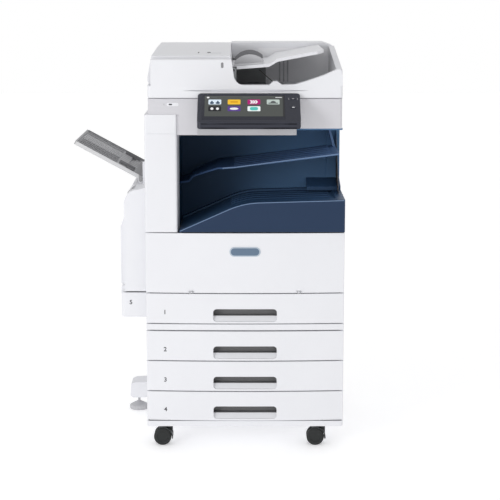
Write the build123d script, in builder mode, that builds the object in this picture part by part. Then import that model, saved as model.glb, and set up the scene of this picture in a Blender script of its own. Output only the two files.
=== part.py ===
from build123d import *
import math
import os

os.makedirs("parts", exist_ok=True)

# Millimetres, +Z up, front towards -Y. Most places are given as u, d, z: u sideways from the centre plane of
# the cabinet, d backwards from the front plane, z up from the floor.

# --- driving dimensions ---
HALF_W = 276.5          # half the width of the cabinet
DEPTH = 605.0           # cabinet, front plane to rear face
PANEL_REACH = 118.0     # control panel in front of the front plane
BYPASS_REACH = 490.5    # tip of the open bypass tray, from the centre plane
SCREW_HEAD = 2.0         # cover screws stand this far off the rear
MID_X = (BYPASS_REACH - HALF_W) / 2
FRONT_Y = (PANEL_REACH - DEPTH - SCREW_HEAD) / 2

SHEET = 2.5             # steel sheet
SHELL = 3.0             # moulded covers
GAP = 1.5               # half the gap between two drawer fronts
FIT = 0.05              # radial play of a running fit
CLEAR = 0.4             # play between sliding faces

PLINTH_BOTTOM = 67.0
DRAWER_BOTTOMS = {4: 84.0, 3: 170.0, 2: 257.5, 1: 364.0}
DRAWER_TOPS = {4: 170.0, 3: 257.5, 2: 344.0, 1: 451.0}
DOOR_BOTTOM = 451.0
DOOR_TOP = 622.0
BAY_TOP = 906.0
SCAN_BOTTOM = 911.0
COLUMN_TOP = 949.0
GLASS_Z = 993.0         # top of the scanner
LID_BOTTOM = 995.5
LID_TOP = 1030.0
CROWN_Z = 1128.0        # top of the document feeder

FRONT_BACK = 18.0       # back of the drawer fronts and the door
BOW_EDGE = 8.0          # a front starts here at its sides and bows forward to BOW_MID in the middle
BOW_MID = -2.0
FRAME_FRONT = 22.0
FRAME_BACK = 592.0
FRAME_HALF = 266.0
BAY_BACK = 305.0        # front wall of the upper rear part of the frame


# --- helpers ---
def front_plane(d):
    """Local x = u, local y = z, normal to the front."""
    return Plane(origin=(MID_X, FRONT_Y + d, 0), x_dir=(1, 0, 0), z_dir=(0, -1, 0))


def side_plane(u):
    """Local x = d, local y = z, normal to the right."""
    return Plane(origin=(MID_X + u, FRONT_Y, 0), x_dir=(0, 1, 0), z_dir=(1, 0, 0))


def floor_plane(z):
    """Local x = u, local y = d, normal up."""
    return Plane(origin=(MID_X, FRONT_Y, z), x_dir=(1, 0, 0), z_dir=(0, 0, 1))


def slab(u, d, z, mode=Mode.ADD):
    """A box between two limits each way."""
    middle = (MID_X + sum(u) / 2, FRONT_Y + sum(d) / 2, sum(z) / 2)
    with Locations(middle):
        Box(u[1] - u[0], d[1] - d[0], z[1] - z[0], mode=mode)


def rod(plane, centre, radius, length, mode=Mode.ADD):
    """A round bar along the plane's normal, starting on the plane."""
    with BuildSketch(plane) as section:
        with Locations(centre):
            Circle(radius)
    extrude(section.sketch, amount=length, mode=mode)


def outline(plane, points, amount, mode=Mode.ADD):
    """A closed polygon on a plane, extruded along its normal."""
    with BuildSketch(plane) as section:
        with BuildLine():
            Polyline(*points, close=True)
        make_face()
    extrude(section.sketch, amount=amount, mode=mode)


def save(part, name):
    part.label = name
    export_step(part, f"parts/{name}.step")


def bowed_front(z, edge, middle, back, half, mode=Mode.ADD):
    """A slab whose front face bows forward."""
    with BuildSketch(floor_plane(z[0])) as section:
        with BuildLine():
            ThreePointArc((-half, edge), (0, middle), (half, edge))
            Polyline((half, edge), (half, back), (-half, back), (-half, edge))
        make_face()
    extrude(section.sketch, amount=z[1] - z[0], mode=mode)


# --- plinth with its four caster plates ---
CASTER_U = 218.0
CASTER_D = (60.0, 540.0)
STUD_R = 5.0
CASTER_PLATE_Z = 62.0
CASTERS = {
    "front_left": (-CASTER_U, CASTER_D[0]),
    "front_right": (CASTER_U, CASTER_D[0]),
    "rear_left": (-CASTER_U, CASTER_D[1]),
    "rear_right": (CASTER_U, CASTER_D[1]),
}

with BuildPart() as plinth:
    slab((-HALF_W, HALF_W), (4, 600), (PLINTH_BOTTOM, 83))
    fillet(plinth.edges().filter_by(Axis.Z), 8)
    fillet(plinth.faces().sort_by(Axis.Z)[0].edges(), 2)
    slab((-HALF_W + 4, HALF_W - 4), (8, 596), (PLINTH_BOTTOM + 3, 84), mode=Mode.SUBTRACT)
    for u, d in CASTERS.values():
        slab((u - 47, u + 12), (d - 30, d + 30), (CASTER_PLATE_Z, PLINTH_BOTTOM + 1))
        rod(floor_plane(CASTER_PLATE_Z - 1), (u, d), STUD_R + FIT, 12, mode=Mode.SUBTRACT)
save(plinth.part, "plinth")

# --- casters: a fork that swivels on its stud, and a twin wheel on its axle ---
WHEEL_R = 25.0
TRAIL = 17.5
AXLE_R = 4.0
WHEEL_FACES = (4.5, 17.5)       # a wheel disc, from the middle of the fork
HOOD_R = (26.5, 29.5)
FORK_TOP = 61.0


def caster_fork(u, d):
    """Swivel disc, web, hub and the hood over both wheels."""
    axle = (u - TRAIL, WHEEL_R)
    with BuildPart() as fork:
        with BuildSketch(front_plane(d + 21)):
            with Locations(axle):
                Circle(HOOD_R[1])
                Circle(HOOD_R[0], mode=Mode.SUBTRACT)
            with Locations((axle[0] - 30, axle[1])):
                Rectangle(40, 80, mode=Mode.SUBTRACT)
            with Locations((axle[0], axle[1] - 25)):
                Rectangle(80, 40, mode=Mode.SUBTRACT)
        extrude(amount=42)
        web = [(axle[0] - 9, 22), (axle[0] + 9, 22), (u + 11, 35), (u + 11, 56), (u - 15, 56),
               (axle[0] - 9, 50)]
        outline(front_plane(d + 4), web, 8)
        rod(floor_plane(54), (u, d), 15, FORK_TOP - 54)
        rod(floor_plane(FORK_TOP - 1), (u, d), STUD_R, 12)
        rod(front_plane(d + 5), axle, AXLE_R + FIT, 10, mode=Mode.SUBTRACT)
    return fork.part


def caster_wheel(u, d):
    """Two discs on one axle."""
    axle = (u - TRAIL, WHEEL_R)
    with BuildPart() as wheel:
        for start in (-WHEEL_FACES[0], WHEEL_FACES[1]):
            rod(front_plane(d + start), axle, WHEEL_R, WHEEL_FACES[1] - WHEEL_FACES[0])
        fillet(wheel.edges().filter_by(GeomType.CIRCLE), 2.5)
        rod(front_plane(d + WHEEL_FACES[0] + 1), axle, AXLE_R, 2 * WHEEL_FACES[0] + 2)
        for face in (WHEEL_FACES[1] + 1, -WHEEL_FACES[1] + 2):
            rod(front_plane(d + face), axle, 16, 3, mode=Mode.SUBTRACT)
    return wheel.part


for place, (caster_u, caster_d) in CASTERS.items():
    save(caster_fork(caster_u, caster_d), f"caster_fork_{place}")
    save(caster_wheel(caster_u, caster_d), f"caster_wheel_{place}")

# --- inner sheet-metal frame ---
DOOR_PIN = (2.0, 455.0)         # d and z of the front door's hinge axis
DOOR_PIN_R = 2.5
DOOR_LUGS = (-150.0, 150.0)
FUSER_WINDOW = ((110, 500), (480, 600))

with BuildPart() as inner_frame:
    profile = [(FRAME_FRONT, 83), (FRAME_BACK, 83), (FRAME_BACK, 900), (BAY_BACK, 900), (BAY_BACK, 615),
               (FRAME_FRONT, 615)]
    outline(side_plane(-FRAME_HALF), profile, 2 * FRAME_HALF)
    inside = (-FRAME_HALF + SHEET, FRAME_HALF - SHEET)
    depth = (FRAME_FRONT - 10, FRAME_BACK - SHEET)
    for number in DRAWER_BOTTOMS:
        bay = (DRAWER_BOTTOMS[number] + GAP, DRAWER_TOPS[number] - GAP)
        slab(inside, depth, bay, mode=Mode.SUBTRACT)
    slab(inside, depth, (DRAWER_TOPS[2] + GAP, DRAWER_BOTTOMS[1] - GAP), mode=Mode.SUBTRACT)
    slab(inside, depth, (DOOR_BOTTOM + GAP, 615 - SHEET), mode=Mode.SUBTRACT)
    slab(inside, (BAY_BACK + SHEET, FRAME_BACK - SHEET), (600, 900 - SHEET), mode=Mode.SUBTRACT)
    slab((-FRAME_HALF - 1, -FRAME_HALF + 4), *FUSER_WINDOW, mode=Mode.SUBTRACT)
    for number, bottom in DRAWER_BOTTOMS.items():
        for side in (-1, 1):
            ledge = sorted((side * (FRAME_HALF - SHEET), side * 254))
            slab(ledge, (FRAME_FRONT + 8, 560), (bottom + 22, bottom + 26))
    for u in DOOR_LUGS:
        slab((u - 6, u + 6), (DOOR_PIN[0], FRAME_FRONT + 1), (450, 452.2))
        rod(side_plane(u - 6), DOOR_PIN, 4, 12)
    for u in DOOR_LUGS:
        rod(side_plane(u - 7), DOOR_PIN, DOOR_PIN_R + FIT, 14, mode=Mode.SUBTRACT)
save(inner_frame.part, "inner_frame")

# --- drawers: a moulded front with a pull recess, and a paper tub ---
PULL_HALF = 89.0
PULL_DEPTH = 30.0
PULL_BOX = 34.3


def drawer_front(bottom, top):
    with BuildPart() as front:
        bowed_front((bottom + GAP, top - GAP), BOW_EDGE, BOW_MID, FRONT_BACK, HALF_W)
        fillet(front.edges().filter_by(Axis.Z), 3)
        slab((-PULL_HALF - 8, PULL_HALF + 8), (FRONT_BACK - 1, PULL_BOX - 0.3), (bottom + 3, bottom + 54))
        with BuildSketch(front_plane(PULL_DEPTH)):
            with Locations((0, bottom + 24.5)):
                RectangleRounded(2 * PULL_HALF, 36, 10)
        extrude(amount=PULL_DEPTH + 10, mode=Mode.SUBTRACT)
        slab((-PULL_HALF + 4, PULL_HALF - 4), (8, PULL_DEPTH), (bottom + 30, bottom + 50), mode=Mode.SUBTRACT)
        scoop = [(1, bottom + 5), (13, bottom + 22), (PULL_DEPTH + 1, bottom + 22), (PULL_DEPTH + 1, bottom + 5)]
        outline(side_plane(-PULL_HALF - 1), scoop, 2 * PULL_HALF + 2)
    return front.part


def drawer_tub(bottom):
    with BuildPart() as tub:
        slab((-250, 250), (FRONT_BACK, 500), (bottom + 4, bottom + 66))
        fillet(tub.edges().filter_by(Axis.Z), 4)
        slab((-247.5, 247.5), (FRONT_BACK + SHEET, 497.5), (bottom + 6.5, bottom + 70), mode=Mode.SUBTRACT)
        slab((-PULL_HALF - 10.5, PULL_HALF + 10.5), (FRONT_BACK, PULL_BOX + SHEET), (bottom + 4, bottom + 57))
        slab(
            (-PULL_HALF - 8, PULL_HALF + 8),
            (FRONT_BACK - 1, PULL_BOX),
            (bottom + 3, bottom + 54.3),
            mode=Mode.SUBTRACT,
        )
        for side in (-1, 1):
            slab(sorted((side * 249, side * 259)), (60, 470), (bottom + 27, bottom + 37))
    return tub.part


for number in DRAWER_BOTTOMS:
    save(drawer_front(DRAWER_BOTTOMS[number], DRAWER_TOPS[number]), f"drawer_{number}_front")
    save(drawer_tub(DRAWER_BOTTOMS[number]), f"drawer_{number}_tub")

# --- band between the paper deck and the main unit ---
with BuildPart() as base_band:
    bowed_front((DRAWER_TOPS[2] + GAP, DRAWER_BOTTOMS[1] - GAP), BOW_EDGE, BOW_MID + 3, 20, HALF_W)
    fillet(base_band.edges().filter_by(Axis.Z), 3)
save(base_band.part, "base_band")

# --- front door ---
with BuildPart() as front_door:
    bowed_front((DOOR_BOTTOM + GAP, DOOR_TOP - GAP), BOW_EDGE, BOW_MID, FRONT_BACK, HALF_W)
    fillet(front_door.edges().filter_by(Axis.Z), 3)
    bowed_front((DOOR_BOTTOM + 6, DOOR_TOP - 6), BOW_EDGE + 4, BOW_MID + 4, FRONT_BACK + 1, HALF_W - 7,
                mode=Mode.SUBTRACT)
    for u in DOOR_LUGS:
        slab((u - 14, u + 14), (BOW_MID + 3, 12), (DOOR_BOTTOM + GAP, DOOR_BOTTOM + 14))
        slab((u - 8, u + 8), (-10, 13), (DOOR_BOTTOM, DOOR_BOTTOM + 12), mode=Mode.SUBTRACT)
        rod(side_plane(u - 10), DOOR_PIN, DOOR_PIN_R, 20)
save(front_door.part, "front_door")

# --- outer covers: moulded pans on the frame ---
COLUMN_BACK = 150.0
COLUMN_RIGHT = -187.0
SIDE_WINDOW = ((100, 510), (475, 700))


def side_cover(side, upper_front, upper_top):
    """Outer skin with an inward flange all round."""
    start = -HALF_W if side < 0 else FRAME_HALF
    skin = (-HALF_W + SHELL, -FRAME_HALF + 1) if side < 0 else (FRAME_HALF - 1, HALF_W - SHELL)
    points = [(20, 84.5), (FRAME_BACK, 84.5), (FRAME_BACK, upper_top), (upper_front, upper_top),
              (upper_front, 614), (20, 614)]
    with BuildPart() as cover:
        outline(side_plane(start), points, HALF_W - FRAME_HALF)
        slab(skin, (24, FRAME_BACK - 4), (88, 610), mode=Mode.SUBTRACT)
        slab(skin, (upper_front + 4, FRAME_BACK - 4), (600, upper_top - 4), mode=Mode.SUBTRACT)
        if side < 0:
            slab((-HALF_W - 1, -FRAME_HALF + 1), *SIDE_WINDOW, mode=Mode.SUBTRACT)
    return cover.part


save(side_cover(-1, COLUMN_BACK, COLUMN_TOP), "left_cover")
save(side_cover(1, BAY_BACK - 4, SCAN_BOTTOM), "right_cover")

INLET_U = 205.0
INLET_Z = 140.0
with BuildPart() as rear_cover:
    slab((-HALF_W, HALF_W), (FRAME_BACK, DEPTH), (84.5, SCAN_BOTTOM))
    fillet(rear_cover.edges().filter_by(Axis.Z).sort_by(Axis.Y)[-2:], 10)
    slab((-HALF_W + 4, HALF_W - 4), (FRAME_BACK - 1, DEPTH - SHELL), (88, SCAN_BOTTOM - 4), mode=Mode.SUBTRACT)
    slab((INLET_U - 26, INLET_U + 26), (FRAME_BACK, DEPTH + 1), (INLET_Z - 16, INLET_Z + 16), mode=Mode.SUBTRACT)
    with BuildSketch(front_plane(DEPTH + 1)):
        with Locations((-120, 760)):
            with GridLocations(0, 12, 1, 10):
                SlotOverall(160, 5)
    extrude(amount=SHELL + 2, mode=Mode.SUBTRACT)
save(rear_cover.part, "rear_cover")

with BuildPart() as front_column:
    slab((-HALF_W, COLUMN_RIGHT), (2, COLUMN_BACK), (DOOR_TOP + GAP, COLUMN_TOP))
    fillet(front_column.edges().filter_by(Axis.Z).sort_by(Axis.Y)[:2], 6)
    slab((-HALF_W + SHELL, COLUMN_RIGHT - SHELL), (5, COLUMN_BACK + 1), (DOOR_TOP + 5, COLUMN_TOP - SHELL),
         mode=Mode.SUBTRACT)
    slab((-HALF_W, COLUMN_RIGHT), (FRAME_FRONT, COLUMN_BACK), (615, DOOR_TOP + 5))
    slab((-HALF_W - 1, COLUMN_RIGHT + 1), (0, 3), (896.4, 897.6), mode=Mode.SUBTRACT)
save(front_column.part, "front_column")

# --- output bay ---
LINER_FACE = 296.0
BLOCK_U = (-181.0, -131.0)      # the short block under the left of the scanner
BLOCK_BOTTOM = 893.0
BLOCK_BACK = 170.0
PILLAR_U = 238.0

with BuildPart() as output_bay_liner:
    slab((COLUMN_RIGHT - SHELL, HALF_W), (LINER_FACE, BAY_BACK - 4), (615, SCAN_BOTTOM))
    slab((BLOCK_U[1] + 1, 268), (14, LINER_FACE + 1), (BAY_TOP, SCAN_BOTTOM))
    slab((COLUMN_RIGHT, BLOCK_U[1] + 2), (BLOCK_BACK + 2, LINER_FACE + 1), (BAY_TOP, SCAN_BOTTOM))
    slab((COLUMN_RIGHT - SHELL, COLUMN_RIGHT), (COLUMN_BACK, LINER_FACE + 1), (615, SCAN_BOTTOM))
    slab((PILLAR_U, HALF_W), (284, LINER_FACE + 1), (741, BAY_TOP + 1))
save(output_bay_liner.part, "output_bay_liner")


def tray_section(rise, u_range, bottom):
    """The sweeping top of the lower tray, raised by rise, closed down to bottom."""
    low = (-183, 627 + rise)
    knee = (-5, 706 + rise)
    high = (HALF_W, 714 + rise)
    with BuildSketch(Plane.XY) as section:
        with BuildLine():
            FilletPolyline(low, knee, high, radius=230)
            Polyline(high, (HALF_W, bottom), (low[0], bottom), low)
        make_face()
        with Locations((sum(u_range) / 2, 700)):
            Rectangle(u_range[1] - u_range[0], 400, mode=Mode.INTERSECT)
    return section.sketch


def tray_run(rise, u_range, bottom, d, mode=Mode.ADD):
    """The tray section run between two depths."""
    section = front_plane(d[1]) * tray_section(rise, u_range, bottom)
    extrude(section, amount=d[1] - d[0], mode=mode)


TRAY_BACK = 294.0
with BuildPart() as lower_output_tray:
    tray_run(0, (-183, HALF_W), 615, (2, TRAY_BACK))
    tray_run(3, (-183, 252), 615, (45, 270), mode=Mode.SUBTRACT)
    tray_run(-5, (-183, 253), 615, (44, 271))
    for rib in range(5):
        tray_run(-3.5, (-40, 240), 615, (70 + 40 * rib, 73 + 40 * rib))
    tray_run(-12, (-183, HALF_W - 4), 610, (6, TRAY_BACK + 1), mode=Mode.SUBTRACT)
    outline(side_plane(179), [(216, 712), (216, 722), (222, 726), (TRAY_BACK, 740), (TRAY_BACK, 712)], HALF_W - 179)
    slab((-190, HALF_W + 1), (0, FRAME_FRONT), (600, DOOR_TOP + GAP), mode=Mode.SUBTRACT)
save(lower_output_tray.part, "lower_output_tray")

UPPER_TOP = [(COLUMN_RIGHT, 744), (-160, 750), (-147, 766), (-75, 797), (-30, 801), (262, 838)]
UPPER_PLAN = [(COLUMN_RIGHT, 165), (-120, 112), (-62, 50), (262, 50), (262, 283), (PILLAR_U - 1, 283),
              (PILLAR_U - 1, LINER_FACE), (COLUMN_RIGHT, LINER_FACE)]
with BuildPart() as upper_output_tray:
    band = UPPER_TOP + [(u, z - 5) for u, z in reversed(UPPER_TOP)]
    outline(front_plane(LINER_FACE), band, LINER_FACE - 40)
    outline(floor_plane(700), UPPER_PLAN, 200, mode=Mode.INTERSECT)
    for rib in range(5):
        ridge = [(-30, 800), (-30, 802.5), (240, 836.5), (240, 834)]
        outline(front_plane(73 + 45 * rib), ridge, 3)
    outline(front_plane(283), [(246, 890), (240, 890), (254, 834), (262, 834)], 50)
save(upper_output_tray.part, "upper_output_tray")

# --- scanner ---
SCAN_HALF = 266.0
SCAN_FRONT = 4.0
GLASS_U = 222.0
GLASS_D = (79.0, 390.0)
RAIL_R = 4.0
RAIL_Z = 969.0
RAILS_D = (95.0, 470.0)
LID_PIN = (588.0, 1003.0)       # d and z of the lid's hinge axis
LID_PIN_R = 4.0
LID_LUGS = (-170.0, 170.0)

with BuildPart() as scanner_housing:
    outline(
        front_plane(FRAME_BACK),
        [(-SCAN_HALF, SCAN_BOTTOM), (SCAN_HALF, SCAN_BOTTOM), (SCAN_HALF, GLASS_Z), (-SCAN_HALF, GLASS_Z)],
        FRAME_BACK - SCAN_FRONT,
    )
    slab((-SCAN_HALF - 1, BLOCK_U[0]), (0, COLUMN_BACK), (SCAN_BOTTOM - 1, COLUMN_TOP), mode=Mode.SUBTRACT)
    fillet(scanner_housing.edges().filter_by(Axis.Z).group_by(Axis.Y)[0].sort_by(Axis.X)[-1:], 8)
    slab(BLOCK_U, (SCAN_FRONT, BLOCK_BACK), (BLOCK_BOTTOM, SCAN_BOTTOM + 1))
    slab((COLUMN_RIGHT + 0.3, BLOCK_U[0] + 1), (SCAN_FRONT + 4, SCAN_FRONT + 8), (BLOCK_BOTTOM, COLUMN_TOP))
    slab((-252, 252), (40, 560), (953, 986), mode=Mode.SUBTRACT)
    slab((BLOCK_U[0] + 6, 262), (12, 584), (914, 950), mode=Mode.SUBTRACT)
    slab((-262, BLOCK_U[0] + 7), (COLUMN_BACK + 6, 584), (914, 950), mode=Mode.SUBTRACT)
    slab((-GLASS_U, GLASS_U), GLASS_D, (989, GLASS_Z + 1), mode=Mode.SUBTRACT)
    slab((-GLASS_U + 5, GLASS_U - 5), (GLASS_D[0] + 5, GLASS_D[1] - 5), (985, 990), mode=Mode.SUBTRACT)
    for d in RAILS_D:
        rod(side_plane(-253), (d, RAIL_Z), RAIL_R, 506)
    for u in LID_LUGS:
        slab((u - 7, u + 7), (580.5, FRAME_BACK), (GLASS_Z - 1, LID_PIN[1]))
        rod(side_plane(u - 7), LID_PIN, 7.5, 14)
        rod(side_plane(u - 8), LID_PIN, LID_PIN_R + FIT, 16, mode=Mode.SUBTRACT)
save(scanner_housing.part, "scanner_housing")

with BuildPart() as platen_glass:
    slab((-GLASS_U, GLASS_U), GLASS_D, (989, GLASS_Z))
save(platen_glass.part, "platen_glass")

with BuildPart() as scanner_carriage:
    slab((-240, -204), (80, 485), (958, 981))
    slab((-226, -216), (GLASS_D[0] + 8, GLASS_D[1] - 8), (972, 982), mode=Mode.SUBTRACT)
    for d in RAILS_D:
        rod(side_plane(-241), (d, RAIL_Z), RAIL_R + FIT, 38, mode=Mode.SUBTRACT)
save(scanner_carriage.part, "scanner_carriage")

# --- document feeder: the lid ---
LID_HALF = 266.5
LID_FRONT = -6.0
LID_BACK = 577.0
SPINE_FRONT = 438.0
SPINE_LEFT = -32.5              # the spine's left edge leans with the top cover beside it
RECESS_Z = 1010.0
TRAY_PIN = (-32.0, 1067.0)      # u and z of the input tray's hinge axis
TRAY_PIN_R = 3.5
COVER_PIN = (-256.0, 1041.0)    # u and z of the top cover's hinge axis
COVER_PIN_R = 3.0
ROLLER = (-85.0, 1050.0)
ROLLER_SHAFT_R = 3.5
CUSHION_U = 216.0
CUSHION_D = (84.0, 385.0)
SKIN_BACK = 8.0                 # the front skin ends here, and the top cover starts just behind it
SKIN_TOP = 1109.0

with BuildPart() as adf_base:
    slab((-LID_HALF, LID_HALF), (LID_FRONT, LID_BACK), (LID_BOTTOM, LID_TOP))
    fillet(adf_base.edges().filter_by(Axis.Z).group_by(Axis.Y)[0], 10)
    # front rim of the output recess with its small bump, the right wall, and the spine behind it
    rim = [(64, LID_TOP - 1), (66, LID_TOP), (77, 1040), (88, 1040), (101, LID_TOP + 0.5), (138, 1032), (168, 1041),
           (215, 1057), (252, 1073), (260, 1073), (LID_HALF, 1050), (LID_HALF, LID_TOP - 1)]
    outline(front_plane(26), rim, 26 - LID_FRONT)
    outline(side_plane(250), [(20, 1029), (20, 1070), (SPINE_FRONT + 1, 1119), (SPINE_FRONT + 1, 1029)],
            LID_HALF - 250)
    outline(front_plane(LID_BACK),
            [(SPINE_LEFT, 1029), (SPINE_LEFT - 2, 1062), (SPINE_LEFT - 9, CROWN_Z), (236, CROWN_Z), (262, 1119),
             (LID_HALF, 1100), (LID_HALF, 1029)],
            LID_BACK - SPINE_FRONT)
    slab((-60, 250), (26, SPINE_FRONT), (RECESS_Z, LID_TOP + 1), mode=Mode.SUBTRACT)
    # front skin on the left, rounded where the recess starts
    with BuildSketch(front_plane(SKIN_BACK)) as skin:
        with BuildLine():
            Polyline((0, LID_TOP - 1), (-LID_HALF, LID_TOP - 1), (-LID_HALF, 1050), (-256, 1105), (-250, 1140),
                     (-43, 1140), (-31, 1058))
            ThreePointArc((-31, 1058), (-22, 1038), (0, LID_TOP))
            Line((0, LID_TOP), (0, LID_TOP - 1))
        make_face()
    with BuildSketch(side_plane(-LID_HALF)) as skin_side:
        with BuildLine():
            Polyline((LID_FRONT, LID_TOP - 2), (LID_FRONT + 1, 1098), (SKIN_BACK, SKIN_TOP),
                     (SKIN_BACK, LID_TOP - 2), close=True)
        make_face()
    add(extrude(skin.sketch, amount=SKIN_BACK - LID_FRONT, mode=Mode.PRIVATE)
        & extrude(skin_side.sketch, amount=2 * LID_HALF, mode=Mode.PRIVATE))
    slab((SPINE_LEFT + 4, LID_HALF - 4), (SPINE_FRONT + 4, LID_BACK - 4), (RECESS_Z, CROWN_Z - 14),
         mode=Mode.SUBTRACT)
    slab((-CUSHION_U - 2, CUSHION_U + 2), (CUSHION_D[0] - 2, CUSHION_D[1] + 2), (LID_BOTTOM - 1, 1000),
         mode=Mode.SUBTRACT)
    # finger groove along the front
    with BuildSketch(front_plane(LID_FRONT + 8)):
        with BuildLine():
            ThreePointArc((-170, 1015), (0, 1019), (175, 1015))
            ThreePointArc((175, 1015), (0, 1011.5), (-170, 1015))
        make_face()
    extrude(amount=9, mode=Mode.SUBTRACT)
    for d in (56.0, 432.6):
        slab((TRAY_PIN[0] - 8, TRAY_PIN[0] + 8), (d, d + 3.4), (RECESS_Z - 1, TRAY_PIN[1]))
        rod(front_plane(d + 3.4), TRAY_PIN, 8, 3.4)
        rod(front_plane(d + 4), TRAY_PIN, TRAY_PIN_R + FIT, 5, mode=Mode.SUBTRACT)
    for d in (62.0, 422.0):
        slab((ROLLER[0] - 7, ROLLER[0] + 7), (d, d + 5), (1025, ROLLER[1]))
        rod(front_plane(d + 5), ROLLER, 7, 5)
        rod(front_plane(d + 6), ROLLER, ROLLER_SHAFT_R + FIT, 7, mode=Mode.SUBTRACT)
    for d in (120.0, 500.0):
        slab((COVER_PIN[0] - 5, COVER_PIN[0] + 5), (d, d + 10), (LID_TOP - 1, COVER_PIN[1]))
        rod(front_plane(d + 10), COVER_PIN, 5, 10)
        rod(front_plane(d + 11), COVER_PIN, COVER_PIN_R + FIT, 12, mode=Mode.SUBTRACT)
    for u in LID_LUGS:
        slab((u + 8, u + 20), (LID_BACK - 5, LID_PIN[0]), (LID_PIN[1] - 5, LID_PIN[1] + 5))
        rod(side_plane(u + 8), LID_PIN, 7.5, 12)
        rod(side_plane(u - 7), LID_PIN, LID_PIN_R, 20)
save(adf_base.part, "adf_base")

with BuildPart() as platen_cushion:
    slab((-CUSHION_U, CUSHION_U), CUSHION_D, (GLASS_Z + CLEAR, 1000))
save(platen_cushion.part, "platen_cushion")

COVER_BOTTOM = 1031.5
COVER_FRONT = SKIN_BACK + 1.0
KNUCKLE = [(-261, COVER_BOTTOM), (-244, COVER_BOTTOM), (-244, 1050), (-264, 1050), (-264, 1040)]
with BuildPart() as adf_top_cover:
    outline(front_plane(LID_BACK),
            [(-260, COVER_BOTTOM), (-34, COVER_BOTTOM), (-36, 1062), (-43, 1140), (-250, 1140), (-256, 1105),
             (-LID_HALF, 1050), (-LID_HALF, 1040), (-264, 1035)],
            LID_BACK - COVER_FRONT)
    outline(side_plane(-300),
            [(COVER_FRONT, 1020), (COVER_FRONT, SKIN_TOP), (250, 1122), (470, CROWN_Z), (555, 1124),
             (LID_BACK, 1100), (LID_BACK, 1020)],
            320, mode=Mode.INTERSECT)
    slab((-250, -52), (COVER_FRONT + 4, LID_BACK - 4), (COVER_BOTTOM - 1, 1100), mode=Mode.SUBTRACT)
    slab((-112, 0), (55, 436.5), (COVER_BOTTOM - 1, 1092), mode=Mode.SUBTRACT)
    for d in (120.0, 500.0):
        slab((-LID_HALF - 1, COVER_PIN[0] + 7), (d - 0.5, d + 10.5), (COVER_BOTTOM - 1, COVER_PIN[1] + 7),
             mode=Mode.SUBTRACT)
        for back in (d - 0.5, d + 16):
            outline(front_plane(back), KNUCKLE, 5.5)
        rod(front_plane(d + 15), COVER_PIN, COVER_PIN_R, 20)
save(adf_top_cover.part, "adf_top_cover")

with BuildPart() as adf_feed_roller:
    rod(front_plane(340), ROLLER, 13, 190)
    rod(front_plane(429), ROLLER, ROLLER_SHAFT_R, 369)
save(adf_feed_roller.part, "adf_feed_roller")

INPUT_TOP = [(-40, 1077), (66, 1085), (90, 1099), (218, 1123)]
INPUT_PLAN = [(-40, 60), (200, 60), (218, 90), (218, 405), (200, 432), (-40, 432)]
GUIDE_SLOT = (4.0, 16.0)
GUIDE_U = (-30.0, 52.0)         # both ends of a document guide
with BuildPart() as adf_input_tray:
    outline(front_plane(432), INPUT_TOP + [(u, z - 9) for u, z in reversed(INPUT_TOP)], 372)
    outline(floor_plane(1000), INPUT_PLAN, 200, mode=Mode.INTERSECT)
    rod(front_plane(432), TRAY_PIN, 6, 372)
    rod(front_plane(436), TRAY_PIN, TRAY_PIN_R, 380)
    slab(GUIDE_SLOT, (80, 412), (1075, 1090), mode=Mode.SUBTRACT)
save(adf_input_tray.part, "adf_input_tray")


def document_guide(d, outward):
    """A lens-shaped fence with a foot and a tongue in the tray's slot."""
    slope = (INPUT_TOP[1][1] - INPUT_TOP[0][1]) / (INPUT_TOP[1][0] - INPUT_TOP[0][0])
    near, far = GUIDE_U
    foot = INPUT_TOP[0][1] + slope * (near - INPUT_TOP[0][0]) + CLEAR
    heel = INPUT_TOP[0][1] + slope * (far - INPUT_TOP[0][0]) + CLEAR
    with BuildPart() as guide:
        with BuildSketch(front_plane(d + 4)):
            with BuildLine():
                Polyline((near, foot + 9), (near, foot), (far, heel), (far, heel + 9))
                ThreePointArc((far, heel + 9), (20, heel + 24), (near, foot + 9))
            make_face()
        extrude(amount=8)
        plate = [(near, foot), (far, heel), (far, heel + 4), (near, foot + 4)]
        outline(front_plane(d + (34 if outward > 0 else 4)), plate, 38)
        slab((GUIDE_SLOT[0] + CLEAR, GUIDE_SLOT[1] - CLEAR), (d - 3, d + 3), (1077, 1083))
    return guide.part


save(document_guide(98, -1), "document_guide_front")
save(document_guide(396, 1), "document_guide_rear")

# --- control panel on its bracket ---
PANEL_LEFT = -128.0
PANEL_RIGHT = 149.0
PANEL_FRONT = -PANEL_REACH
PANEL_BACK = -10.0
PANEL_LOW = 939.6               # top edge at the front
PANEL_HIGH = 1008.4             # top edge at the back
PANEL_PIN = (-25.0, 963.0)      # d and z of the tilt axis
PANEL_PIN_R = 4.0
PANEL_LUGS = (-60.0, 80.0)
panel_slope = math.atan2(PANEL_HIGH - PANEL_LOW, PANEL_BACK - PANEL_FRONT)
panel_length = math.hypot(PANEL_HIGH - PANEL_LOW, PANEL_BACK - PANEL_FRONT)
PANEL_FACE = Plane(
    origin=(MID_X, FRONT_Y + PANEL_FRONT, PANEL_LOW),
    x_dir=(1, 0, 0),
    z_dir=(0, -math.sin(panel_slope), math.cos(panel_slope)),
)
SCREEN_U = (-116.0, 108.0)
SCREEN_RUN = (10.0, panel_length - 8.0)
KEY_U = 130.0
KEYS = {"home_button": panel_length * 0.5, "power_button": panel_length * 0.8}
KEY_SIZE = (15.0, 7.0)

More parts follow.
